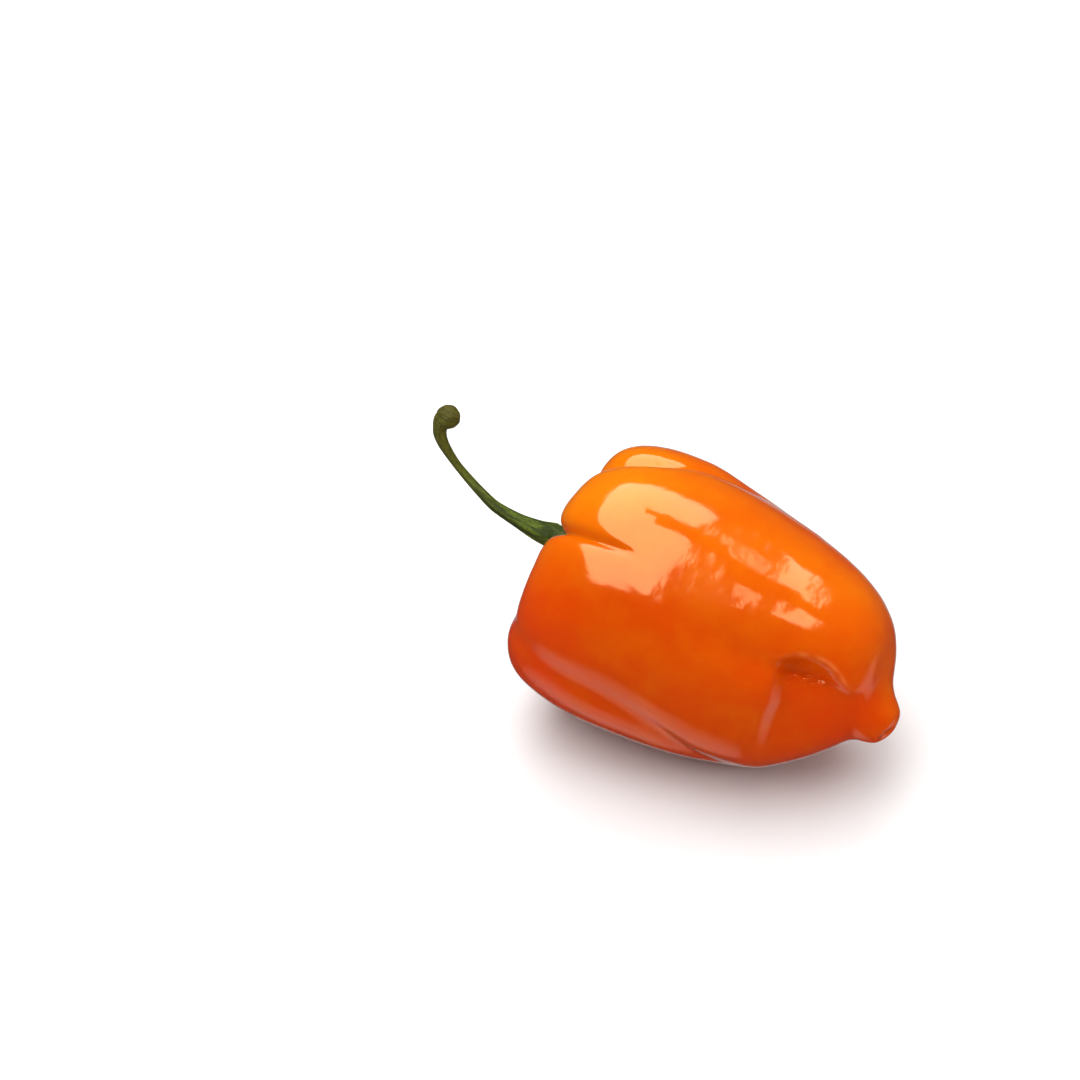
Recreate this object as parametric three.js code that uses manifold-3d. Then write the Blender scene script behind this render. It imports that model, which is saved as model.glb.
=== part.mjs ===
// A ripe orange habanero chilli, picked with its stem and lying on its side on a table.
// It is two pieces: the lobed fruit, and the green stem with the calyx that caps the pit it grows from.
// Units are millimetres and degrees, +Z is up. The origin is the middle of the flat spot that the fruit rests on.
// The fruit's axis runs from the stem end towards +X and dips by AXIS_DIP. Its near side faces -Y.

import * as THREE from "three";
import Module from "manifold-3d";

const wasm = await Module();
wasm.setup();

// Driving dimensions
const FRUIT_LENGTH = 53.2; // from the rim of the stem pit to the blossom tip
const FRUIT_HALF_WIDTH = 20.6; // the mean radius at the widest girth
const AXIS_DIP = 10; // how far the blossom end hangs below the stem end
const REST_X = 20.6; // the flat spot's middle from the stem pit's rim, along the table
const REST_Y = -1.2; // and across it
const REST_Z = -23.93; // and down to the table, which presses the skin flat by 0.35
const CALYX_GAP = 0.3; // the room kept between the calyx and the skin
const ROWS = 56; // facets from the stem pit to the blossom tip
const COLUMNS = 80; // facets round the fruit
const OUTLINE_STEPS = 40; // steps of the fine outline between two of its given points
const STEM_SIDES = 16;
const STEM_STEPS = 44;
const TABLE_SIDE = 100; // the block of table that the fruit's flat spot is cut with
const TABLE_THICKNESS = 10;

// The mean outline from the floor of the stem pit, over the shoulder, to the blossom tip:
// the way along as a share of the length, and the radius as a share of the half width.
const OUTLINE = [
  [0.083, 0],
  [0.073, 0.107],
  [0.043, 0.218],
  [0.009, 0.34],
  [-0.011, 0.495],
  [-0.002, 0.68],
  [0.041, 0.845],
  [0.124, 0.956],
  [0.235, 1],
  [0.357, 0.981],
  [0.489, 0.927],
  [0.611, 0.859],
  [0.714, 0.772],
  [0.801, 0.641],
  [0.866, 0.49],
  [0.906, 0.35],
  [0.932, 0.25],
  [0.957, 0.193],
  [0.98, 0.15],
  [0.995, 0.095],
  [1, 0],
];

// The line of centres isn't straight: along (mm), then its offset upwards and towards the near side.
const BEND = [
  [-1, -1.0, 1.0],
  [10, -0.9, 0.9],
  [25, -0.7, 0.7],
  [37, -0.2, 0.2],
  [44, 0.6, -0.6],
  [48, 0.7, -0.7],
  [50, -0.4, 0.5],
  [52, -1.0, 1.0],
  [54, -0.9, 0.9],
];

// The creases between the lobes. A station is the percentage of the way along the skin from the stem pit to the tip.
// An angle is measured round the axis from the top towards the near side.
// Each row is station, angle, depth and half width (mm).
const CREASES = {
  top: [
    [4, -12, 0, 2],
    [10, -12, 1.6, 1.8],
    [16, -12, 2.8, 1.9],
    [25, -15, 2.9, 2.0],
    [33, -20, 2.3, 2.2],
    [40, -29, 1.4, 2.4],
    [46, -36, 0.9, 2.8],
    [53, -42, 0.4, 3.2],
    [62, -46, 0, 4],
  ],
  near: [
    [4, 36, 0, 2],
    [10, 36, 1.6, 1.4],
    [16, 36, 2.3, 1.1],
    [24, 35.5, 2.1, 0.9],
    [31, 34.5, 1.5, 0.8],
    [37, 33.5, 0.9, 0.7],
    [41, 33, 0.35, 0.7],
    [45, 33, 0, 0.8],
  ],
  waist: [
    [46, 42, 0, 4],
    [56, 47, 0.6, 4.5],
    [64, 50, 1.1, 3.6],
    [69, 50, 1.0, 3.2],
    [75, 46, 0.3, 2.5],
    [79, 43, 0, 2],
  ],
  fold: [
    [72, 51, 0, 1],
    [75, 50, 0.8, 0.9],
    [79, 49, 1.0, 0.8],
    [82, 49.5, 0.8, 0.6],
    [85, 53.5, 0.4, 0.5],
    [87, 57, 0, 0.5],
  ],
  low: [
    [4, 98, 0, 2],
    [10, 97, 0.6, 2.5],
    [18, 96, 0.5, 3],
    [28, 95, 0.8, 3.2],
    [38, 96, 1.2, 3.6],
    [48, 98, 1.3, 3.8],
    [55, 105, 1.2, 3.8],
    [64, 124, 0.9, 4],
    [73, 134, 0, 5],
  ],
  under: [
    [4, 215, 0, 2],
    [10, 214, 1.4, 2.2],
    [18, 212, 2.4, 2.6],
    [30, 210, 1.8, 3],
    [48, 208, 0.9, 4],
    [69, 205, 0.8, 4],
    [83, 205, 0.4, 3],
    [91, 205, 0, 3],
  ],
  far: [
    [4, 287, 0, 2],
    [10, 287, 1.4, 2.2],
    [18, 285, 2.6, 2.4],
    [30, 284, 2.0, 3],
    [48, 280, 1.0, 3.5],
    [69, 276, 0.7, 4],
    [81, 275, 0.8, 3],
    [91, 275, 0, 3],
  ],
};

// Broad swellings and dips: station and angle, half length along and round (mm), and height (mm).
const SWELLINGS = [
  { at: [23, -44], reach: [6, 8], height: 0.6 },
  { at: [23, 122], reach: [6, 9], height: 1.0 },
  { at: [13, 68], reach: [7, 9], height: -1.0 },
  { at: [11, 12], reach: [5, 7], height: -0.5 },
  { at: [45, 135], reach: [9, 6], height: -0.35 },
  { at: [59, 178], reach: [10, 8], height: 0.5 },
  { at: [83, 14], reach: [6, 7], height: 0.9 },
  { at: [78, -5], reach: [8, 9], height: 0.35 },
  { at: [90.5, 5], reach: [3, 5], height: -0.8 },
  { at: [91.5, 58], reach: [3, 3.2], height: 0.5 },
  { at: [98.6, 120], reach: [2, 2.5], height: -0.9 },
];

// The near lobe stops short of the blossom tip and leaves a hollow below the upper lobe's overhang.
// Its floor runs straight on into the tip. The edges are angles, and their softness is in mm.
const HOLLOW_DEPTH = [
  [70.5, 0],
  [72.5, 0.6],
  [75.5, 2.7],
  [79, 3.1],
  [82, 2.85],
  [84, 2.4],
  [88, 1.3],
  [90, 0.9],
  [94, 0.45],
  [98, 0],
];
// It reaches further back towards the stem at smaller angles, by HOLLOW_LEAD stations.
const HOLLOW_LEAD = [
  [44, 1.7],
  [58, 0.8],
  [70, 0],
];
const HOLLOW_UPPER_EDGE = [
  [68, 50],
  [71, 46],
  [74, 41.5],
  [78, 41],
  [81, 44],
  [84, 51],
  [86, 53],
  [88, 47],
  [90, 37],
  [93, 10],
];
const HOLLOW_UPPER_SOFTNESS = [
  [80, 0.3],
  [85, 0.4],
  [90, 1.1],
];
const HOLLOW_LOWER_EDGE = 97;
const HOLLOW_LOWER_SOFTNESS = 3;

// The stem's centre line in the fruit's own frame: along, upwards, towards the near side, and the radius there.
// It starts inside the fruit, under the calyx, and ends where the hooked knob begins.
const STEM_ROUTE = [
  [6.0, 0, 0, 4.4],
  [3.4, 0, 0, 5.2],
  [2.0, 0, 0, 4.3],
  [0.6, -0.1, 0.1, 2.9],
  [-1.0, -0.2, 0.3, 2.25],
  [-2.8, -0.3, 0.4, 1.85],
  [-5.2, -0.5, 0.7, 1.45],
  [-8.6, -0.4, 0.9, 1.0],
  [-12.2, -0.2, 0.8, 0.8],
  [-14.8, 0.5, 0.5, 0.7],
  [-17.8, 1.5, 0, 0.62],
  [-20.3, 2.9, -0.2, 0.6],
  [-22.6, 4.6, -0.5, 0.76],
  [-23.7, 5.9, -0.8, 0.92],
  [-24.0, 7.0, -1.1, 1.07],
];
const KNOB = [
  [-24.0, 7.0, -1.1, 1.1],
  [-24.0, 8.0, -1.5, 1.4],
  [-23.5, 8.4, -2.1, 1.75],
];
const KNOB_SIDES = 20;
const KNOB_RINGS = 14;
const CALYX_POINTS = 5;
const CALYX_WAVE = 0.09; // how far the calyx's five points stand out, as a share of its radius
const CALYX_REACH = 0.2; // the share of the stem's route that the calyx takes

const degrees = THREE.MathUtils.degToRad;

// A smooth curve through rows of [position, value, ...], read in one column and level past both ends.
function through(rows, position, column) {
  const last = rows.length - 1;
  if (position <= rows[0][0]) return rows[0][column];
  if (position >= rows[last][0]) return rows[last][column];
  let i = 0;
  while (rows[i + 1][0] < position) i += 1;
  const slope = (k) => {
    const a = rows[Math.max(k - 1, 0)];
    const b = rows[Math.min(k + 1, last)];
    return (b[column] - a[column]) / (b[0] - a[0]);
  };
  const span = rows[i + 1][0] - rows[i][0];
  const t = (position - rows[i][0]) / span;
  const t2 = t * t;
  const t3 = t2 * t;
  return (
    (2 * t3 - 3 * t2 + 1) * rows[i][column] +
    (t3 - 2 * t2 + t) * span * slope(i) +
    (3 * t2 - 2 * t3) * rows[i + 1][column] +
    (t3 - t2) * span * slope(i + 1)
  );
}

// The outline at equal steps along the skin, with its direction there.
function outlineStations(count) {
  const points = OUTLINE.map(
    ([along, out]) =>
      new THREE.Vector3(along * FRUIT_LENGTH, out * FRUIT_HALF_WIDTH, 0),
  );
  const mirrored = (p) => new THREE.Vector3(p.x, -p.y, 0);
  const whole = [
    mirrored(points[1]),
    ...points,
    mirrored(points[points.length - 2]),
  ];
  const fine = [];
  for (let i = 1; i < whole.length - 2; i += 1) {
    for (let k = 0; k < OUTLINE_STEPS; k += 1)
      fine.push(spline(whole.slice(i - 1, i + 3), k / OUTLINE_STEPS));
  }
  fine.push(points[points.length - 1]);
  const reach = [0];
  for (let i = 1; i < fine.length; i += 1)
    reach.push(reach[i - 1] + fine[i].distanceTo(fine[i - 1]));
  const length = reach[reach.length - 1];
  const at = (wanted) => {
    const s = THREE.MathUtils.clamp(wanted, 0, length);
    let i = 0;
    while (i < reach.length - 2 && reach[i + 1] < s) i += 1;
    return fine[i]
      .clone()
      .lerp(fine[i + 1], (s - reach[i]) / (reach[i + 1] - reach[i]));
  };
  const step = length / count;
  return Array.from({ length: count + 1 }, (_, row) => {
    const here = at(row * step);
    const way = at((row + 0.5) * step)
      .sub(at((row - 0.5) * step))
      .normalize();
    return { station: (100 * row) / count, along: here.x, out: here.y, way };
  });
}

// One point of the spline through four points, between the middle two.
function spline([a, b, c, d], t) {
  const part = (name) =>
    0.5 *
    (2 * b[name] +
      (c[name] - a[name]) * t +
      (2 * a[name] - 5 * b[name] + 4 * c[name] - d[name]) * t * t +
      (3 * b[name] - a[name] - 3 * c[name] + d[name]) * t * t * t);
  return new THREE.Vector3(part("x"), part("y"), 0);
}

const turnBetween = (from, to) =>
  THREE.MathUtils.euclideanModulo(to - from + 180, 360) - 180;
const softStep = (x) => 1 / (1 + Math.exp(-x));

// How far the skin stands above the mean outline, at a station and an angle.
function relief(station, angle, out, skinLength) {
  const perDegree = degrees(Math.max(out, 3));
  const mm = skinLength / 100;
  let height = 0;
  for (const rows of Object.values(CREASES)) {
    const depth = Math.max(through(rows, station, 2), 0);
    const across =
      (turnBetween(through(rows, station, 1), angle) * perDegree) /
      through(rows, station, 3);
    height -= depth / (1 + across * across);
  }
  for (const { at, reach, height: top } of SWELLINGS) {
    const along = ((station - at[0]) * mm) / reach[0];
    const round = (turnBetween(at[1], angle) * perDegree) / reach[1];
    height += top * Math.exp(-along * along - round * round);
  }
  const belowEdge =
    turnBetween(through(HOLLOW_UPPER_EDGE, station, 1), angle) * perDegree;
  const aboveEdge = turnBetween(angle, HOLLOW_LOWER_EDGE) * perDegree;
  const led = station + through(HOLLOW_LEAD, angle, 1);
  height -=
    Math.max(through(HOLLOW_DEPTH, led, 1), 0) *
    softStep(belowEdge / through(HOLLOW_UPPER_SOFTNESS, station, 1)) *
    softStep(aboveEdge / HOLLOW_LOWER_SOFTNESS);
  return height;
}

// The fruit's closed skin, in its own frame, raised by "grow" everywhere.
function fruitSkin(grow) {
  const stations = outlineStations(ROWS);
  const skinLength = stations.reduce(
    (sum, s, i) =>
      i
        ? sum +
          Math.hypot(s.along - stations[i - 1].along, s.out - stations[i - 1].out)
        : 0,
    0,
  );
  const rings = stations.map(({ station, along, out, way }) =>
    Array.from({ length: COLUMNS }, (_, column) => {
      const angle = (360 * column) / COLUMNS;
      const height = relief(station, angle, out, skinLength) + grow;
      const x = along - way.y * height;
      const r = out + way.x * height;
      const up = r * Math.cos(degrees(angle)) + through(BEND, x, 1);
      const near = r * Math.sin(degrees(angle)) + through(BEND, x, 2);
      return new THREE.Vector3(x, -near, up);
    }),
  );
  return closedTube(rings);
}

// A closed surface through rings of points; the first and last rings close on their own middle.
function closedTube(rings) {
  const sides = rings[0].length;
  const middle = (ring) =>
    ring
      .reduce((sum, p) => sum.add(p), new THREE.Vector3())
      .divideScalar(ring.length);
  const body = rings.slice(1, -1);
  const points = [
    middle(rings[0]),
    ...body.flat(),
    middle(rings[rings.length - 1]),
  ];
  const tip = points.length - 1;
  const index = (ring, side) => 1 + ring * sides + (side % sides);
  const faces = [];
  for (let side = 0; side < sides; side += 1) {
    faces.push(0, index(0, side + 1), index(0, side));
    for (let ring = 0; ring < body.length - 1; ring += 1) {
      const [a, b] = [index(ring, side), index(ring, side + 1)];
      const [c, d] = [index(ring + 1, side + 1), index(ring + 1, side)];
      faces.push(a, b, c, a, c, d);
    }
    faces.push(index(body.length - 1, side), index(body.length - 1, side + 1), tip);
  }
  const geometry = new THREE.BufferGeometry().setFromPoints(points);
  geometry.setIndex(faces);
  return geometry;
}

// Geometry to a solid and back.
function solid(geometry) {
  return new wasm.Manifold(
    new wasm.Mesh({
      numProp: 3,
      vertProperties: new Float32Array(geometry.attributes.position.array),
      triVerts: new Uint32Array(geometry.index.array),
    }),
  );
}
function geometryOf(made) {
  const mesh = made.getMesh();
  const geometry = new THREE.BufferGeometry();
  geometry.setAttribute(
    "position",
    new THREE.BufferAttribute(mesh.vertProperties, 3),
  );
  geometry.setIndex(new THREE.BufferAttribute(mesh.triVerts, 1));
  geometry.computeVertexNormals();
  return geometry;
}

// The pepper as it lies: its own frame dips by AXIS_DIP and is moved so that the flat spot is at the origin.
const lying = new THREE.Group();
lying.rotation.y = degrees(AXIS_DIP);
lying.position.set(-REST_X, -REST_Y, -REST_Z);
lying.updateMatrixWorld(true);

// The skin presses flat where it lies on the table.
function pressedFlat(fruit) {
  const table = new THREE.BoxGeometry(TABLE_SIDE, TABLE_SIDE, TABLE_THICKNESS);
  table.translate(0, 0, -TABLE_THICKNESS / 2);
  table.applyMatrix4(lying.matrixWorld.clone().invert());
  return fruit.subtract(solid(welded(table)));
}

// A closed shape with the points on its seams and corners shared between its faces.
function welded(geometry) {
  const position = geometry.attributes.position;
  const keys = new Map();
  const points = [];
  const place = [];
  for (let i = 0; i < position.count; i += 1) {
    const p = new THREE.Vector3().fromBufferAttribute(position, i);
    const key = p
      .toArray()
      .map((v) => v.toFixed(3))
      .join();
    if (!keys.has(key)) keys.set(key, points.push(p) - 1);
    place.push(keys.get(key));
  }
  const joined = new THREE.BufferGeometry().setFromPoints(points);
  joined.setIndex([...geometry.index.array].map((i) => place[i]));
  return joined;
}

// The stem and calyx as one tapering tube along the route.
function stemTube() {
  const centre = new THREE.CatmullRomCurve3(
    STEM_ROUTE.map(([along, up, near]) => new THREE.Vector3(along, -near, up)),
  );
  const radii = new THREE.CatmullRomCurve3(
    STEM_ROUTE.map(([, , , radius], i) => new THREE.Vector3(i, radius, 0)),
    false,
    "catmullrom",
    0.5,
  );
  const frames = centre.computeFrenetFrames(STEM_STEPS, false);
  const rings = [];
  for (let i = 0; i <= STEM_STEPS; i += 1) {
    const share = i / STEM_STEPS;
    const t = centre.getUtoTmapping(share);
    const middle = centre.getPoint(t);
    const radius = radii.getPoint(t).y;
    const wave = CALYX_WAVE * Math.max(0, 1 - share / CALYX_REACH);
    rings.push(
      Array.from({ length: STEM_SIDES }, (_, side) => {
        const angle = (2 * Math.PI * side) / STEM_SIDES;
        const r = radius * (1 + wave * Math.cos(CALYX_POINTS * angle));
        return middle
          .clone()
          .addScaledVector(frames.normals[i], r * Math.cos(angle))
          .addScaledVector(frames.binormals[i], r * Math.sin(angle));
      }),
    );
  }
  return closedTube(rings);
}

// The thickened, hooked knob at the stem's picked end: balls with the gap filled from each to the next.
function knob() {
  const balls = KNOB.map(([along, up, near, radius]) => {
    const ball = new THREE.SphereGeometry(radius, KNOB_SIDES, KNOB_RINGS);
    ball.translate(along, -near, up);
    return solid(welded(ball));
  });
  return wasm.Manifold.union(
    balls.slice(1).map((ball, i) => wasm.Manifold.hull([balls[i], ball])),
  );
}

const fruit = pressedFlat(solid(fruitSkin(0)));
const stem = solid(stemTube()).add(knob()).subtract(solid(fruitSkin(CALYX_GAP)));

const orangeSkin = new THREE.MeshStandardMaterial({
  color: 0xf26a05,
  roughness: 0.22,
  metalness: 0,
});
const greenStem = new THREE.MeshStandardMaterial({
  color: 0x4c5a20,
  roughness: 0.6,
  metalness: 0,
});

const fruitMesh = new THREE.Mesh(geometryOf(fruit), orangeSkin);
fruitMesh.name = "fruit";
const stemMesh = new THREE.Mesh(geometryOf(stem), greenStem);
stemMesh.name = "stem_with_calyx";
lying.add(fruitMesh, stemMesh);

const pepper = new THREE.Group();
pepper.add(lying);

export default pepper;
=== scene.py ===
import math

import bpy
import numpy as np
from mathutils import Euler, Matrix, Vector


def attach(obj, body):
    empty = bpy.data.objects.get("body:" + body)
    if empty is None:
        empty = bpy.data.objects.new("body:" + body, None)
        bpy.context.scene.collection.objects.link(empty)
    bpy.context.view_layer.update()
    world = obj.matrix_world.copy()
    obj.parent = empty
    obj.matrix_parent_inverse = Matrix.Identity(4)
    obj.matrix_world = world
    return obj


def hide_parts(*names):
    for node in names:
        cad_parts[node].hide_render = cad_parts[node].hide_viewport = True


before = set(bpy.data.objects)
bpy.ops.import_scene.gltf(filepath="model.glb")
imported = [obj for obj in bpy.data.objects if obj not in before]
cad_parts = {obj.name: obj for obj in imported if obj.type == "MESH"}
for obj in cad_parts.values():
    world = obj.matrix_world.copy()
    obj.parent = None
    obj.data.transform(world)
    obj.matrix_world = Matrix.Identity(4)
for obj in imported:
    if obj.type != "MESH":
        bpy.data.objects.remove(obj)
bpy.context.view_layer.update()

# The camera.
# It stands where the photograph was taken from: a long lens, well above the table, on the side of the
# blossom end. It aims at the middle of the fruit, whose own frame runs along its axis, dips towards the
# table and has its zero level with the stem pit's rim.
AXIS_DIP = math.radians(10)
REST_SPOT = Vector((0.0206, -0.0012, -0.02393))
ALONG = Vector((math.cos(AXIS_DIP), 0, -math.sin(AXIS_DIP)))
UPWARDS = Vector((math.sin(AXIS_DIP), 0, math.cos(AXIS_DIP)))
NEARER = Vector((0, -1, 0))


def from_fruit(along, up, near):
    """A place given in the fruit's own frame, in the row frame."""
    return along * ALONG + up * UPWARDS + near * NEARER - REST_SPOT


CAMERA_AZIMUTH = math.radians(30.9)
CAMERA_ELEVATION = math.radians(40)
CAMERA_DISTANCE = 0.42
LENS = 100
SENSOR = 36
IMAGE_SIDE = 1080
MIDDLE_OF_FRUIT = from_fruit(0.025, 0, 0)
MIDDLE_IN_PHOTO = (722.5, 623.4)

backwards = Vector((
    math.sin(CAMERA_AZIMUTH) * math.cos(CAMERA_ELEVATION),
    -math.cos(CAMERA_AZIMUTH) * math.cos(CAMERA_ELEVATION),
    math.sin(CAMERA_ELEVATION),
))
rightwards = Vector((math.cos(CAMERA_AZIMUTH), math.sin(CAMERA_AZIMUTH), 0))
metres_a_pixel = CAMERA_DISTANCE * SENSOR / LENS / IMAGE_SIDE
off_right = (MIDDLE_IN_PHOTO[0] - IMAGE_SIDE / 2) * metres_a_pixel
off_up = (IMAGE_SIDE / 2 - MIDDLE_IN_PHOTO[1]) * metres_a_pixel
camera = bpy.data.objects.new("camera", bpy.data.cameras.new("camera"))
bpy.context.scene.collection.objects.link(camera)
camera.data.lens = LENS
camera.data.sensor_width = SENSOR
camera.data.clip_start = 0.01
camera.data.clip_end = 20
camera.location = (
    MIDDLE_OF_FRUIT
    - off_right * rightwards
    - off_up * backwards.cross(rightwards)
    + CAMERA_DISTANCE * backwards
)
camera.rotation_mode = "QUATERNION"
camera.rotation_quaternion = (-backwards).to_track_quat("-Z", "Y")
bpy.context.scene.camera = camera

# The fruit.
# A ripe habanero: a thin-walled lantern of fused lobes with a waxy orange skin, drawn in round the stem,
# with a hollow where the near lobe stops short of the blossom tip. It grew in one piece, so it is one mesh.
MM = 0.001
FRUIT_LENGTH = 53.2
FRUIT_HALF_WIDTH = 20.6
ROWS = 256
COLUMNS = 384

# The mean outline from the stem pit to the blossom tip, as shares of the length and of the half width.
OUTLINE_STEPS = 40
OUTLINE = (
    (0.083, 0), (0.073, 0.107), (0.043, 0.218), (0.009, 0.34), (-0.011, 0.495), (-0.002, 0.68),
    (0.041, 0.845), (0.124, 0.956), (0.235, 1), (0.357, 0.981), (0.489, 0.927), (0.611, 0.859),
    (0.714, 0.772), (0.801, 0.641), (0.866, 0.49), (0.906, 0.35), (0.932, 0.25), (0.957, 0.193),
    (0.98, 0.15), (0.995, 0.095), (1, 0),
)

# The line of centres: along (mm), then its offset upwards and towards the near side.
BEND = (
    (-1, -1.0, 1.0), (10, -0.9, 0.9), (25, -0.7, 0.7), (37, -0.2, 0.2), (44, 0.6, -0.6),
    (48, 0.7, -0.7), (50, -0.4, 0.5), (52, -1.0, 1.0), (54, -0.9, 0.9),
)

# The creases between the lobes, each row a station, an angle, a depth and a half width.
# A station is the percentage of the way along the skin from the stem pit to the tip.
# An angle is in degrees round the axis, from the top towards the near side. Lengths are in mm.
# A degree is never taken as shorter than it is at LEAST_OUT from the axis, so that both ends stay smooth.
LEAST_OUT = 3
CREASES = {
    "top": ((4, -12, 0, 2), (10, -12, 1.6, 1.8), (16, -12, 2.8, 1.9), (25, -15, 2.9, 2.0),
            (33, -20, 2.3, 2.2), (40, -29, 1.4, 2.4), (46, -36, 0.9, 2.8), (53, -42, 0.4, 3.2),
            (62, -46, 0, 4)),
    "near": ((4, 36, 0, 2), (10, 36, 1.6, 1.4), (16, 36, 2.3, 1.1), (24, 35.5, 2.1, 0.9),
             (31, 34.5, 1.5, 0.8), (37, 33.5, 0.9, 0.7), (41, 33, 0.35, 0.7), (45, 33, 0, 0.8)),
    "waist": ((46, 42, 0, 4), (56, 47, 0.6, 4.5), (64, 50, 1.1, 3.6), (69, 50, 1.0, 3.2),
              (75, 46, 0.3, 2.5), (79, 43, 0, 2)),
    "fold": ((72, 51, 0, 1), (75, 50, 0.5, 0.9), (79, 49, 0.6, 0.8), (82, 49.5, 0.6, 0.6),
             (85, 53.5, 0.4, 0.5), (87, 57, 0, 0.5)),
    "low": ((4, 98, 0, 2), (10, 97, 0.6, 2.5), (18, 96, 0.5, 3), (28, 95, 0.8, 3.2),
            (38, 96, 1.2, 3.6), (48, 98, 1.3, 3.8), (55, 105, 1.2, 3.8), (64, 124, 0.9, 4),
            (73, 134, 0, 5)),
    "under": ((4, 215, 0, 2), (10, 214, 1.4, 2.2), (18, 212, 2.4, 2.6), (30, 210, 1.8, 3),
              (48, 208, 0.9, 4), (69, 205, 0.8, 4), (83, 205, 0.4, 3), (91, 205, 0, 3)),
    "far": ((4, 287, 0, 2), (10, 287, 1.4, 2.2), (18, 285, 2.6, 2.4), (30, 284, 2.0, 3),
            (48, 280, 1.0, 3.5), (69, 276, 0.7, 4), (81, 275, 0.8, 3), (91, 275, 0, 3)),
}

# Broad swellings and dips: station, angle, half length along, half length round and height.
SWELLINGS = (
    (23, -44, 6, 8, 0.6), (23, 122, 6, 9, 1.0), (13, 68, 7, 9, -1.0), (11, 12, 5, 7, -0.5),
    (45, 135, 9, 6, -0.35), (59, 178, 10, 8, 0.5), (83, 14, 6, 7, 0.9), (78, -5, 8, 9, 0.35),
    (90.5, 5, 3, 5, -0.8), (91.5, 58, 3, 3.2, 0.5), (98.6, 120, 2, 2.5, -0.9),
)

# The hollow below the upper lobe's overhang, whose floor runs on into the tip. Its depth goes by station,
# and it starts sooner by a lead that goes by angle. Its edges are angles, and a softness is in mm.
HOLLOW_DEPTH = (
    (70.5, 0), (72.5, 0.6), (75.5, 2.7), (79, 3.1), (82, 2.85), (84, 2.4), (88, 1.3), (90, 0.9),
    (94, 0.45), (98, 0),
)
HOLLOW_LEAD = ((44, 1.7), (58, 0.8), (70, 0))
HOLLOW_UPPER_EDGE = (
    (68, 50), (71, 46), (74, 41.5), (78, 41), (81, 44), (84, 51), (86, 53), (88, 47), (90, 37), (93, 10),
)
HOLLOW_UPPER_SOFTNESS = ((80, 0.3), (85, 0.4), (90, 1.1))
HOLLOW_LOWER_EDGE = 97
HOLLOW_LOWER_SOFTNESS = 3

# Ripe skin isn't even: it has broad dents and finer waves, each a wavelength and a height in mm.
# They fade out over the stations next to both ends.
SKIN_WAVES = ((13, 0.035), (6, 0.012), (2.4, 0.004))
WAVES_FROM = 8
WAVES_TO = 99
WAVES_FADE = 8
WAVES_A_BAND = 28

# A patch of the skin is a station, an angle, its reach in stations and in degrees, and how strong it is.
# Where the skin folds into the hollow it is puckered in fine wrinkles, longer along the fruit than across.
PUCKERED_PATCHES = ((79, 52, 5, 8, 1),)
PUCKER_WAVE = 1.2
PUCKER_STRETCH = (0.4, 1, 1)
PUCKER_HEIGHT = 0.10


def through(rows, position, column):
    """A smooth curve through rows of (position, value, ...), level past both ends."""
    rows = np.array(rows, float)
    places, values = rows[:, 0], rows[:, column]
    last = len(rows) - 1
    before = np.maximum(np.arange(last + 1) - 1, 0)
    after = np.minimum(np.arange(last + 1) + 1, last)
    slope = (values[after] - values[before]) / (places[after] - places[before])
    position = np.clip(position, places[0], places[last])
    i = np.clip(np.searchsorted(places, position) - 1, 0, last - 1)
    span = places[i + 1] - places[i]
    t = (position - places[i]) / span
    rise = t * t * (3 - 2 * t)
    leave = t * (1 - t) ** 2 * span * slope[i]
    arrive = t * t * (t - 1) * span * slope[i + 1]
    return values[i] * (1 - rise) + values[i + 1] * rise + leave + arrive


def spline(points, steps):
    """Points on a smooth curve through the given ones, with that many steps between each two."""
    points = np.array(points, float)
    padded = np.vstack([2 * points[0] - points[1], points, 2 * points[-1] - points[-2]])
    t = np.arange(steps)[:, None] / steps
    parts = []
    for a, b, c, d in zip(padded, padded[1:], padded[2:], padded[3:]):
        curve = 2 * b + (c - a) * t + (2 * a - 5 * b + 4 * c - d) * t**2 + (3 * b - a - 3 * c + d) * t**3
        parts.append(curve / 2)
    return np.vstack(parts + [points[-1:]])


def turn_between(start, end):
    """The turn in degrees from one angle to another, from -180 to 180."""
    return (end - start + 180) % 360 - 180


def step_up(x):
    """A soft step from 0 to 1 round x = 0."""
    return 1 / (1 + np.exp(-np.clip(x, -50, 50)))


def waves(places, wavelength, seed):
    """Smooth seeded noise with about the given wavelength, mostly from -1 to 1."""
    draw = np.random.default_rng(seed)
    total = np.zeros(places.shape[:-1])
    for _ in range(WAVES_A_BAND):
        way = draw.normal(size=3)
        way *= 2 * np.pi / wavelength * draw.uniform(0.7, 1.4) / np.linalg.norm(way)
        total += np.sin(places @ way + draw.uniform(0, 2 * np.pi))
    return total * math.sqrt(2 / WAVES_A_BAND)


def patches(rows, station, angle):
    """A mask from 0 to 1 of soft patches on the skin."""
    mask = np.zeros(station.shape)
    for at, at_angle, reach_along, reach_round, strength in rows:
        along = (station - at) / reach_along
        round_it = turn_between(at_angle, angle) / reach_round
        mask += strength * np.exp(-along**2 - round_it**2)
    return np.clip(mask, 0, 1)


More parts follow.
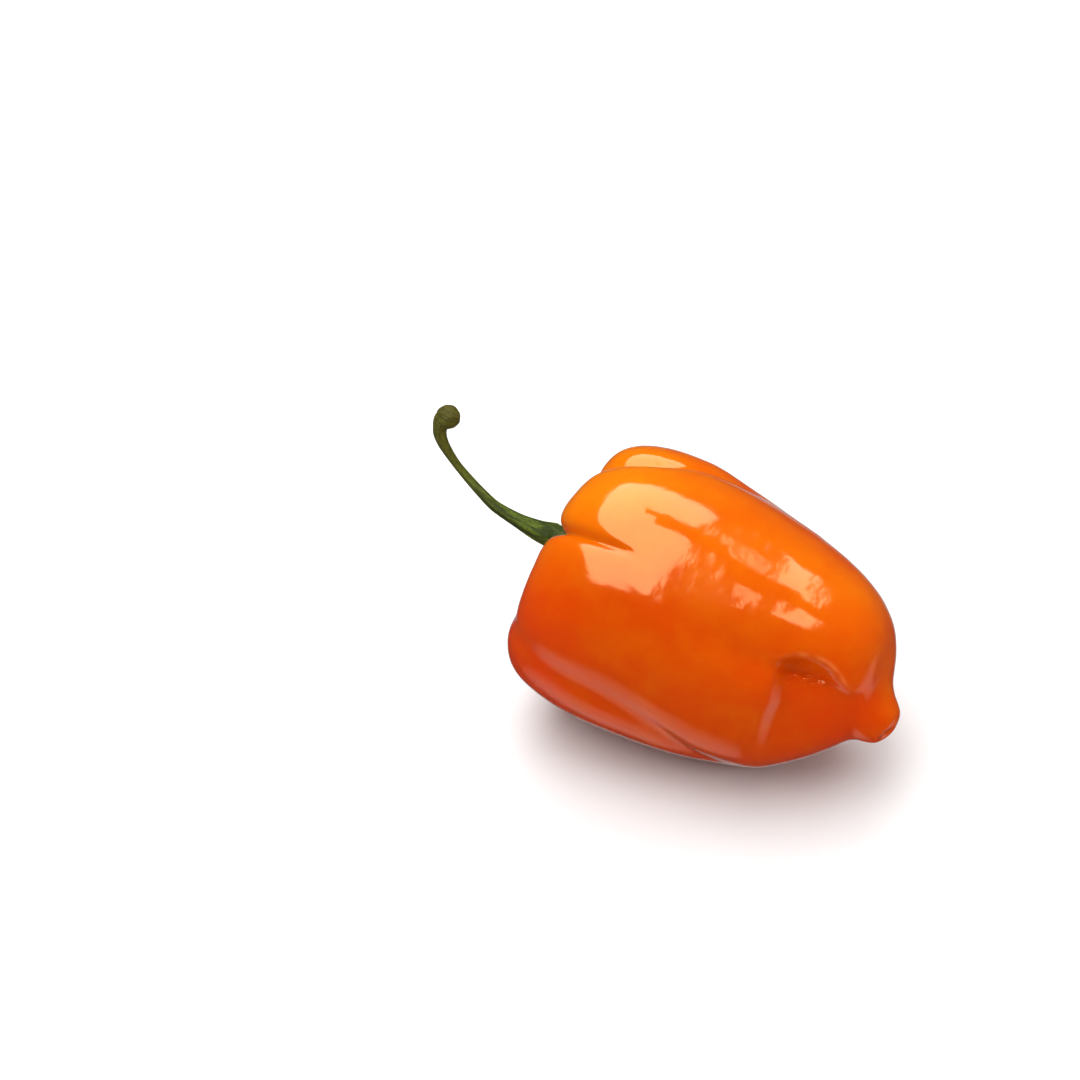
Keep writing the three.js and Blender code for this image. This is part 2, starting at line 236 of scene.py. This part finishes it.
def relief(station, angle, out, skin_length):
    """How far the skin stands above the mean outline, in mm."""
    per_degree = mm_a_degree(out)
    mm_a_station = skin_length / 100
    height = np.zeros(station.shape)
    for rows in CREASES.values():
        depth = np.maximum(through(rows, station, 2), 0)
        across = turn_between(through(rows, station, 1), angle) * per_degree
        height -= depth / (1 + (across / through(rows, station, 3)) ** 2)
    for at, at_angle, reach_along, reach_round, top in SWELLINGS:
        along = (station - at) * mm_a_station / reach_along
        round_it = turn_between(at_angle, angle) * per_degree / reach_round
        height += top * np.exp(-along**2 - round_it**2)
    inside = hollow_share(station, angle, out)
    led = station + through(HOLLOW_LEAD, angle, 1)
    return height - np.maximum(through(HOLLOW_DEPTH, led, 1), 0) * inside


def mm_a_degree(out):
    """The length of a degree round the skin, at a distance from the axis."""
    return np.radians(np.maximum(out, LEAST_OUT))


def below_upper_edge(station, angle, out):
    """How far below the hollow's upper edge a place on the skin is, in mm."""
    return turn_between(through(HOLLOW_UPPER_EDGE, station, 1), angle) * mm_a_degree(out)


def hollow_share(station, angle, out):
    """1 inside the hollow's upper and lower edges, 0 outside them."""
    above_edge = turn_between(angle, HOLLOW_LOWER_EDGE) * mm_a_degree(out)
    upper = step_up(below_upper_edge(station, angle, out) / through(HOLLOW_UPPER_SOFTNESS, station, 1))
    return upper * step_up(above_edge / HOLLOW_LOWER_SOFTNESS)


def grid_mesh(name, points, masks):
    """A mesh from rows of points that close round, with both end rows drawn to one point."""
    rows, columns = points.shape[:2]
    mesh = bpy.data.meshes.new(name)
    first = points[0].mean(0)
    final = points[-1].mean(0)
    vertices = np.vstack([first, points[1:-1].reshape(-1, 3), final])
    ring = np.arange(columns)
    ahead = (ring + 1) % columns
    faces = [(0, 1 + b, 1 + a) for a, b in zip(ring, ahead)]
    for row in range(rows - 3):
        here = 1 + row * columns
        there = here + columns
        faces += [(here + a, here + b, there + b, there + a) for a, b in zip(ring, ahead)]
    end = len(vertices) - 1
    faces += [(end - columns + a, end - columns + b, end) for a, b in zip(ring, ahead)]
    mesh.from_pydata(vertices, [], faces)
    for label, values in masks.items():
        layer = mesh.attributes.new(label, "FLOAT", "POINT")
        inner = values[1:-1].reshape(-1)
        layer.data.foreach_set("value", np.r_[values[0].mean(), inner, values[-1].mean()])
    mesh.shade_smooth()
    piece = bpy.data.objects.new(name, mesh)
    bpy.context.scene.collection.objects.link(piece)
    return piece


def place_in_row(points):
    """Points of the fruit's own frame, in mm, as points of the row frame, in metres."""
    turned = points[..., :1] * np.array(ALONG) + points[..., 1:2] * np.array(UPWARDS)
    turned = turned + points[..., 2:3] * np.array(NEARER)
    return turned * MM - np.array(REST_SPOT)


def fruit_skin():
    """The fruit's points in mm, with their stations, their angles and how far out from the axis they are."""
    outline = np.array(OUTLINE) * (FRUIT_LENGTH, FRUIT_HALF_WIDTH)
    mirrored = outline * (1, -1)
    carried_on = np.vstack([mirrored[1:2], outline, mirrored[-2:-1]])
    fine = spline(carried_on, OUTLINE_STEPS)[OUTLINE_STEPS:-OUTLINE_STEPS]
    reach = np.r_[0, np.cumsum(np.linalg.norm(np.diff(fine, axis=0), axis=1))]
    wanted = np.linspace(0, reach[-1], ROWS)
    along = np.interp(wanted, reach, fine[:, 0])
    out = np.interp(wanted, reach, fine[:, 1])
    way = np.stack([np.gradient(along), np.gradient(out)], 1)
    way /= np.linalg.norm(way, axis=1, keepdims=True)
    turns = np.arange(COLUMNS) * 360 / COLUMNS
    station, angle = np.meshgrid(wanted / reach[-1] * 100, turns, indexing="ij")
    out = out[:, None]
    height = relief(station, angle, out + 0 * angle, reach[-1])
    radians = np.radians(angle)
    rough = np.stack([along[:, None] + 0 * angle, out * np.cos(radians), out * np.sin(radians)], -1)
    calm_ends = np.clip(np.minimum(station - WAVES_FROM, WAVES_TO - station) / WAVES_FADE, 0, 1)
    for seed, (wavelength, tall) in enumerate(SKIN_WAVES):
        height += tall * calm_ends * waves(rough, wavelength, seed)
    puckered = patches(PUCKERED_PATCHES, station, angle)
    height += PUCKER_HEIGHT * puckered * waves(rough * PUCKER_STRETCH, PUCKER_WAVE, len(SKIN_WAVES))
    x = along[:, None] - way[:, 1:] * height
    r = out + way[:, :1] * height
    up = r * np.cos(radians) + through(BEND, x, 1)
    near = r * np.sin(radians) + through(BEND, x, 2)
    return np.stack([x, up, near], -1), station, angle, out


# A soft ripe fruit presses flat a little where it rests.
skin_points, station, angle, out = fruit_skin()
skin_row = place_in_row(skin_points)
skin_row[..., 2] = np.maximum(skin_row[..., 2], 0)

# The upper shoulders are yellower and the lower parts and the hollow redder: partly the skin's own tone,
# partly painted light where the light falls on the shoulders and painted shade below and in the hollow. The
# flower left a scar on the tip.
GOLD_AND_LIGHT_PATCHES = (
    (24, 5, 16, 34, 1), (20, -60, 16, 40, 0.6), (50, -10, 30, 40, 0.35), (16, 62, 12, 26, 0.6),
    (76, 0, 14, 40, 0.3),
)
# Redder patches, partly painted shade: on the lower front, the underside, the tip's lower side and in the
# hollow.
RED_AND_SHADE_PATCHES = (
    (26, 95, 14, 40, 1), (88, 80, 10, 60, 1), (60, 150, 40, 50, 0.7), (78, 56, 5, 12, 1),
)
SCAR_PATCHES = ((97.4, 95, 0.8, 30, 0.8),)

# A thin pale line along the rim of the hollow, where the upper lobe folds over it, is a painted highlight:
# light caught by the rim's edge, painted into the skin's colour. It is stronger in some places and weaker in
# others.
RIM_PATCHES = ((79, 47, 6, 30, 1),)
RIM_LINE_ABOVE_EDGE = 0.85
RIM_LINE_HALF_WIDTH = 0.24
RIM_LINE_STRENGTH = 0.75
RIM_LINE_CHANGE = 0.35
RIM_LINE_WAVE = 2.5
RIM_LINE_SEED = 5

from_rim_line = below_upper_edge(station, angle, out) + RIM_LINE_ABOVE_EDGE
painted_rim_line = np.exp(-((from_rim_line / RIM_LINE_HALF_WIDTH) ** 2)) * patches(RIM_PATCHES, station, angle)
painted_rim_line *= RIM_LINE_STRENGTH + RIM_LINE_CHANGE * waves(skin_points, RIM_LINE_WAVE, RIM_LINE_SEED)
skin_masks = {
    "rim_highlight_paint": np.clip(painted_rim_line, 0, 1),
    "gold_and_painted_light": patches(GOLD_AND_LIGHT_PATCHES, station, angle),
    "red_and_painted_shade": patches(RED_AND_SHADE_PATCHES, station, angle),
    "scar": patches(SCAR_PATCHES, station, angle),
}
fruit = grid_mesh("fruit_skin", skin_row, skin_masks)

SKIN_ORANGE = (0.51, 0.051, 0.0003, 1)
# Yellower skin, partly painted light on the lit shoulders.
SKIN_GOLD_AND_LIT = (0.62, 0.155, 0.001, 1)
# Redder skin, partly painted shade below and in the hollow.
SKIN_RED_AND_SHADED = (0.56, 0.036, 0.0003, 1)
# The colour of the painted highlight along the hollow's rim.
SKIN_PAINTED_HIGHLIGHT = (0.80, 0.21, 0.05, 1)
SCAR_BROWN = (0.16, 0.06, 0.015, 1)
SKIN_CLOUD_SCALE = 150
GOLD_UNEVENNESS = 0.24
SPECKS_FINER = 9
PORE_SCALE = 1600
PORE_DEPTH = 0.00001


def new_material(name):
    """An empty node material with its Principled BSDF."""
    material = bpy.data.materials.new(name)
    material.use_nodes = True
    nodes = material.node_tree.nodes
    return material, nodes, material.node_tree.links, nodes["Principled BSDF"]


def mottle_group():
    """Two sizes of soft cloudy mottling from 0 to 1, which the skin and the stem both have."""
    group = bpy.data.node_groups.new("cloudy mottling", "ShaderNodeTree")
    for name, kind in (("Vector", "NodeSocketVector"), ("Cloud Scale", "NodeSocketFloat")):
        group.interface.new_socket(name, in_out="INPUT", socket_type=kind)
    group.interface.new_socket("Clouds", in_out="OUTPUT", socket_type="NodeSocketFloat")
    group.interface.new_socket("Specks", in_out="OUTPUT", socket_type="NodeSocketFloat")
    nodes, links = group.nodes, group.links
    taken = nodes.new("NodeGroupInput")
    given = nodes.new("NodeGroupOutput")
    clouds = nodes.new("ShaderNodeTexNoise")
    clouds.inputs["Detail"].default_value = 3
    specks = nodes.new("ShaderNodeTexNoise")
    specks.inputs["Detail"].default_value = 1
    finer = nodes.new("ShaderNodeMath")
    finer.operation = "MULTIPLY"
    finer.inputs[1].default_value = SPECKS_FINER
    links.new(taken.outputs["Vector"], clouds.inputs["Vector"])
    links.new(taken.outputs["Vector"], specks.inputs["Vector"])
    links.new(taken.outputs["Cloud Scale"], clouds.inputs["Scale"])
    links.new(taken.outputs["Cloud Scale"], finer.inputs[0])
    links.new(finer.outputs[0], specks.inputs["Scale"])
    links.new(clouds.outputs["Fac"], given.inputs["Clouds"])
    links.new(specks.outputs["Fac"], given.inputs["Specks"])
    return group


def masked_mix(nodes, links, mask, first, second):
    """A colour mixed from a colour or a socket to another by a mask's socket."""
    mix = nodes.new("ShaderNodeMix")
    mix.data_type = "RGBA"
    for socket, value in ((mix.inputs[6], first), (mix.inputs[7], second)):
        if isinstance(value, tuple):
            socket.default_value = value
        else:
            links.new(value, socket)
    links.new(mask, mix.inputs["Factor"])
    return mix.outputs[2]


def mask_of(nodes, name):
    """The socket that reads a mask stored in the mesh."""
    reader = nodes.new("ShaderNodeAttribute")
    reader.attribute_name = name
    return reader.outputs["Fac"]


def remapped(nodes, links, value, low, high, to_low, to_high):
    """A value's range moved to another range and held inside it."""
    ranged = nodes.new("ShaderNodeMapRange")
    for socket, number in zip(("From Min", "From Max", "To Min", "To Max"), (low, high, to_low, to_high)):
        ranged.inputs[socket].default_value = number
    links.new(value, ranged.inputs["Value"])
    return ranged.outputs["Result"]


def skin_material(mottling):
    """Waxy ripe skin: orange, yellower on the upper shoulders, redder below, with fine pores in its gloss.
    The yellow is partly painted light, the redder tone partly painted shade, and the pale line along the
    hollow's rim is a painted highlight.
    """
    material, nodes, links, shader = new_material("ripe skin")
    place = nodes.new("ShaderNodeTexCoord").outputs["Object"]
    clouds = nodes.new("ShaderNodeGroup")
    clouds.node_tree = mottling
    clouds.inputs["Cloud Scale"].default_value = SKIN_CLOUD_SCALE
    links.new(place, clouds.inputs["Vector"])
    uneven = remapped(nodes, links, clouds.outputs["Clouds"], 0.35, 0.65, 0, 1)
    # A yellower tone on the upper shoulders, partly painted light where the light falls.
    gold_and_light_sum = nodes.new("ShaderNodeMath")
    gold_and_light_sum.operation = "MULTIPLY_ADD"
    gold_and_light_sum.inputs[1].default_value = GOLD_UNEVENNESS
    links.new(uneven, gold_and_light_sum.inputs[0])
    links.new(mask_of(nodes, "gold_and_painted_light"), gold_and_light_sum.inputs[2])
    gold_and_painted_light = remapped(nodes, links, gold_and_light_sum.outputs[0], 0.1, 1.1, 0, 0.95)
    colour = masked_mix(nodes, links, gold_and_painted_light, SKIN_ORANGE, SKIN_GOLD_AND_LIT)
    # Redder where the skin is shaded: partly the skin's own tone, partly painted shade.
    red_and_shade_share = nodes.new("ShaderNodeMath")
    red_and_shade_share.operation = "MULTIPLY"
    links.new(mask_of(nodes, "red_and_painted_shade"), red_and_shade_share.inputs[0])
    links.new(remapped(nodes, links, clouds.outputs["Clouds"], 0.3, 0.7, 1, 0.6), red_and_shade_share.inputs[1])
    colour = masked_mix(nodes, links, red_and_shade_share.outputs[0], colour, SKIN_RED_AND_SHADED)
    # The painted highlight along the hollow's rim, mixed in at up to half strength.
    rim_highlight_paint = remapped(nodes, links, mask_of(nodes, "rim_highlight_paint"), 0, 1, 0, 0.5)
    colour = masked_mix(nodes, links, rim_highlight_paint, colour, SKIN_PAINTED_HIGHLIGHT)
    colour = masked_mix(nodes, links, mask_of(nodes, "scar"), colour, SCAR_BROWN)
    links.new(colour, shader.inputs["Base Color"])
    pores = nodes.new("ShaderNodeTexNoise")
    pores.inputs["Scale"].default_value = PORE_SCALE
    pores.inputs["Detail"].default_value = 2
    links.new(place, pores.inputs["Vector"])
    bump = nodes.new("ShaderNodeBump")
    bump.inputs["Strength"].default_value = 1.0
    bump.inputs["Distance"].default_value = PORE_DEPTH
    links.new(pores.outputs["Fac"], bump.inputs["Height"])
    links.new(bump.outputs["Normal"], shader.inputs["Normal"])
    shader.inputs["Roughness"].default_value = 0.095
    shader.inputs["IOR"].default_value = 1.75
    shader.inputs["Specular Tint"].default_value = (1.0, 0.68, 0.33, 1)
    shader.inputs["Subsurface Weight"].default_value = 0.3
    shader.inputs["Subsurface Radius"].default_value = (1.0, 0.25, 0.05)
    shader.inputs["Subsurface Scale"].default_value = 0.003
    return material


mottling = mottle_group()
fruit.data.materials.append(skin_material(mottling))
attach(fruit, "root")
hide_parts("fruit")

# The stem and calyx.
# A green stalk, finely ridged along its length, which flares into the five-pointed calyx that caps the
# stem pit. It grew in one piece and was picked by snapping it, so its free end is a hooked, thickened
# brown knob. A row of its route is along, up, near and its radius, in mm in the fruit's own frame.
STEM_STEPS = 12
STEM_ROUTE = (
    (-2.8, -0.3, 0.4, 1.85), (-5.2, -0.5, 0.7, 1.45), (-8.6, -0.4, 0.9, 1.0), (-12.2, -0.2, 0.8, 0.8),
    (-14.8, 0.5, 0.5, 0.7), (-17.8, 1.5, 0, 0.62), (-20.3, 2.9, -0.2, 0.6), (-22.6, 4.6, -0.5, 0.76),
    (-23.7, 5.9, -0.8, 0.92), (-24.0, 7.0, -1.1, 1.07), (-24.0, 7.9, -1.5, 1.35), (-23.7, 8.4, -1.9, 1.5),
)
KNOB_MIDDLE = (-23.5, 8.4, -2.1)
KNOB_RADIUS = 1.75
KNOB_RINGS = 48
KNOB_WAVE = 1.6
KNOB_LUMPS = 0.06
KNOB_SEED = 3
STEM_SIDES = 96
STEM_RIBS = 6
RIB_HEIGHT = 0.05
RIB_SEED = 4
CALYX_RADIUS = 4.1
CALYX_POINTS = 5
CALYX_POINT = 0.6
CALYX_THICKNESS = 0.45
CALYX_UNDERSIDE = 0.6
CALYX_LIFT = 0.05
CALYX_ROUNDED_SHARE = 0.12
CALYX_RISE_POWER = 2.6
CALYX_RINGS = 30


def pit_floor(radius):
    """How far along the skin of the stem pit lies, on the mean, at a radius from the axis."""
    rows = [(out_share * FRUIT_HALF_WIDTH, along * FRUIT_LENGTH) for along, out_share in OUTLINE[:5]]
    return through(rows, radius, 1)


def stem_surface():
    """Rings of points from the calyx's rim to the knob, with how far along each ring is, in mm."""
    turn = np.arange(STEM_SIDES) * 2 * np.pi / STEM_SIDES
    calyx = []
    start = STEM_ROUTE[0]
    rim = CALYX_RADIUS + CALYX_POINT * (0.5 + 0.5 * np.cos(CALYX_POINTS * turn)) ** 2
    for share in np.linspace(0, 1, CALYX_RINGS, endpoint=False):
        radius = rim + (start[3] - rim) * share
        rise = (start[0] - pit_floor(start[3])) * share**CALYX_RISE_POWER
        lift = CALYX_THICKNESS * math.sqrt(1 - (1 - min(share / CALYX_ROUNDED_SHARE, 1)) ** 2)
        x = pit_floor(radius) - CALYX_LIFT - lift + rise
        drift = share**2
        up = radius * np.cos(turn) + start[1] * drift + (1 - drift) * through(BEND, x, 1)
        near = radius * np.sin(turn) + start[2] * drift + (1 - drift) * through(BEND, x, 2)
        calyx.append(np.stack([x, up, near], -1))
    route = spline(STEM_ROUTE, STEM_STEPS)
    centre, radius = route[:, :3], route[:, 3]
    forwards = np.gradient(centre, axis=0)
    forwards /= np.linalg.norm(forwards, axis=1, keepdims=True)
    side = np.array([0, 1.0, 0])
    rings = []
    draw = np.random.default_rng(RIB_SEED)
    ribs = 1 + RIB_HEIGHT * np.cos(STEM_RIBS * turn + draw.uniform(0, 6))
    for middle, thick, way in zip(centre, radius, forwards):
        side = side - side @ way * way
        side /= np.linalg.norm(side)
        other = np.cross(side, way)
        around = np.cos(turn)[:, None] * side + np.sin(turn)[:, None] * other
        rings.append(middle + thick * ribs[:, None] * around)
    points = np.array(calyx + rings)
    middles = points.mean(1)
    passed = np.r_[0, np.cumsum(np.linalg.norm(np.diff(middles, axis=0), axis=1))]
    points = np.concatenate([points, middles[-1:, None] + 0 * points[-1:]])
    passed = np.r_[passed, passed[-1]]
    under = points[:1] * 1.0
    under[..., 0] += CALYX_UNDERSIDE
    points = np.concatenate([under, points])
    return points, np.r_[0, passed], turn


def knob_surface(turn):
    """The lumpy ball at the picked end, which the stalk runs into."""
    polar = np.linspace(0, np.pi, KNOB_RINGS)[:, None] + 0 * turn
    outwards = np.stack([-np.cos(polar), np.sin(polar) * np.cos(turn), np.sin(polar) * np.sin(turn)], -1)
    reach = KNOB_RADIUS + KNOB_LUMPS * waves(outwards * KNOB_RADIUS, KNOB_WAVE, KNOB_SEED)
    return np.array(KNOB_MIDDLE) + reach[..., None] * outwards


def stem_masks(passed, turn):
    """How far along the stem each point is, and its place round it."""
    return {
        "passed": passed,
        "round_cos": np.cos(turn) + 0 * passed,
        "round_sin": np.sin(turn) + 0 * passed,
    }


stem_points, stem_passed, stem_turn = stem_surface()
stem_passed = stem_passed[:, None] + 0 * stem_turn
stem = grid_mesh("stem_and_calyx", place_in_row(stem_points), stem_masks(stem_passed, stem_turn))
knob_points = knob_surface(stem_turn)
knob_passed = stem_passed[-1] + knob_points[..., 1] - KNOB_MIDDLE[1]
knob = grid_mesh("picked_end", place_in_row(knob_points), stem_masks(knob_passed, stem_turn))

STEM_GREEN = (0.026, 0.045, 0.002, 1)
STEM_PALE = (0.115, 0.165, 0.012, 1)
STEM_OLIVE = (0.10, 0.084, 0.011, 1)
KNOB_BROWN = (0.080, 0.062, 0.012, 1)
FLECK_DARK = (0.016, 0.018, 0.003, 1)

# The streaks run along the stem, so they change more slowly that way than round it.
# How far along it turns olive, and then brown, is in mm from the calyx's rim.
STREAK_SCALE = 2.5
STREAK_SLOWNESS = 0.12
STREAK_DEPTH = 0.00012
OLIVE_FROM = 12
OLIVE_TO = 27
BROWN_FROM = 30
BROWN_TO = 35


def stem_material(mottling):
    """Green skin with fine pale streaks along it, turning olive and then brown towards the picked end."""
    material, nodes, links, shader = new_material("stem skin")
    lengthwise = nodes.new("ShaderNodeCombineXYZ")
    slow = nodes.new("ShaderNodeMath")
    slow.operation = "MULTIPLY"
    slow.inputs[1].default_value = STREAK_SLOWNESS
    links.new(mask_of(nodes, "passed"), slow.inputs[0])
    links.new(mask_of(nodes, "round_cos"), lengthwise.inputs["X"])
    links.new(mask_of(nodes, "round_sin"), lengthwise.inputs["Y"])
    links.new(slow.outputs[0], lengthwise.inputs["Z"])
    streaks = nodes.new("ShaderNodeGroup")
    streaks.node_tree = mottling
    streaks.inputs["Cloud Scale"].default_value = STREAK_SCALE
    links.new(lengthwise.outputs[0], streaks.inputs["Vector"])
    pale = remapped(nodes, links, streaks.outputs["Clouds"], 0.42, 0.6, 0, 0.9)
    colour = masked_mix(nodes, links, pale, STEM_GREEN, STEM_PALE)
    older = remapped(nodes, links, mask_of(nodes, "passed"), OLIVE_FROM, OLIVE_TO, 0, 0.8)
    colour = masked_mix(nodes, links, older, colour, STEM_OLIVE)
    picked = remapped(nodes, links, mask_of(nodes, "passed"), BROWN_FROM, BROWN_TO, 0, 0.85)
    colour = masked_mix(nodes, links, picked, colour, KNOB_BROWN)
    flecks = remapped(nodes, links, streaks.outputs["Specks"], 0.44, 0.58, 0, 0.8)
    colour = masked_mix(nodes, links, flecks, colour, FLECK_DARK)
    links.new(colour, shader.inputs["Base Color"])
    bump = nodes.new("ShaderNodeBump")
    bump.inputs["Strength"].default_value = 0.5
    bump.inputs["Distance"].default_value = STREAK_DEPTH
    links.new(streaks.outputs["Specks"], bump.inputs["Height"])
    links.new(bump.outputs["Normal"], shader.inputs["Normal"])
    shader.inputs["Roughness"].default_value = 0.55
    shader.inputs["Specular IOR Level"].default_value = 0.12
    return material


stem_skin = stem_material(mottling)
for piece in (stem, knob):
    piece.data.materials.append(stem_skin)
    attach(piece, "root")
    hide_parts("stem_with_calyx")

# The table and the studio light.
# A plain pale table in a dim studio, under a bank of white light panels with gaps between them, which the
# skin mirrors like the panes of a window. Each panel is a range across the table, then one away from the
# camera, in metres.
FLOOR_PALE = (0.68, 0.68, 0.68, 1)
FLOOR_SIDE = 6.0
PANEL_HEIGHT = 0.57
PANEL_TURN = math.radians(8)
WATTS_A_SQUARE_METRE = 16
PANELS = (
    ((-0.46, -0.10), (-0.70, 0.58)),
    ((-0.10, 0.12), (-0.62, 0.05)),
    ((-0.10, -0.03), (0.04, 0.13)),
    ((-0.10, 0.12), (0.19, 0.52)),
    ((0.168, 0.182), (0.15, 0.34)),
    ((0.184, 0.205), (-0.40, -0.08)),
    ((0.216, 0.31), (0.15, 0.58)),
    ((0.28, 0.36), (-0.22, -0.01)),
)

# Soft lamps low beside the table, which fill the shadows: a place, a side and a power in watts.
FILLS = (
    ((0.47, 0.22, 0.14), 0.4, 1.8),
    ((0.35, -0.50, 0.05), 0.4, 1.0),
)

# The room is dim, with some soft glows, each a direction, the cosines from it where the glow starts and
# where it is full, and its strength.
ROOM_GREY = 0.05
GLOWS = (
    ((-0.28, -0.28, -0.92), 0.90, 0.98, 0.42),
    ((0.64, 0.35, -0.68), 0.92, 0.985, 0.45),
    ((-0.35, 0.70, -0.62), 0.91, 0.98, 0.35),
)

floor_mesh = bpy.data.meshes.new("table")
half = FLOOR_SIDE / 2
corners = [(-half, -half, 0), (half, -half, 0), (half, half, 0), (-half, half, 0)]
floor_mesh.from_pydata(corners, [], [(0, 1, 2, 3)])
floor = bpy.data.objects.new("table", floor_mesh)
bpy.context.scene.collection.objects.link(floor)
material, nodes, links, shader = new_material("pale table")
shader.inputs["Base Color"].default_value = FLOOR_PALE
shader.inputs["Roughness"].default_value = 0.7
floor_mesh.materials.append(material)
floor.visible_glossy = False

for (left, right), (front, back) in PANELS:
    light = bpy.data.lights.new("panel", "AREA")
    light.shape = "RECTANGLE"
    light.size = right - left
    light.size_y = back - front
    light.energy = WATTS_A_SQUARE_METRE * light.size * light.size_y
    panel = bpy.data.objects.new("panel", light)
    middle = Vector(((left + right) / 2, (front + back) / 2, PANEL_HEIGHT))
    middle.rotate(Euler((0, 0, PANEL_TURN)))
    panel.location = middle
    panel.rotation_euler.z = PANEL_TURN
    bpy.context.scene.collection.objects.link(panel)

for place, side, watts in FILLS:
    light = bpy.data.lights.new("fill", "AREA")
    light.size = side
    light.energy = watts
    fill = bpy.data.objects.new("fill", light)
    fill.location = place
    fill.rotation_mode = "QUATERNION"
    fill.rotation_quaternion = (-Vector(place)).to_track_quat("-Z", "Y")
    fill.visible_glossy = False
    bpy.context.scene.collection.objects.link(fill)

world = bpy.data.worlds.new("studio")
world.use_nodes = True
nodes, links = world.node_tree.nodes, world.node_tree.links
way = nodes.new("ShaderNodeTexCoord").outputs["Generated"]
strength = None
for direction, starts, full, glow in GLOWS:
    towards = nodes.new("ShaderNodeVectorMath")
    towards.operation = "DOT_PRODUCT"
    towards.inputs[1].default_value = direction
    links.new(way, towards.inputs[0])
    added = nodes.new("ShaderNodeMath")
    added.operation = "ADD"
    added.inputs[1].default_value = ROOM_GREY
    links.new(remapped(nodes, links, towards.outputs["Value"], starts, full, 0, glow), added.inputs[0])
    if strength is not None:
        links.new(strength, added.inputs[1])
    strength = added.outputs[0]
links.new(strength, nodes["Background"].inputs["Strength"])
nodes["Background"].inputs["Color"].default_value = (1, 1, 1, 1)
bpy.context.scene.world = world
bpy.context.scene.view_settings.view_transform = "Standard"
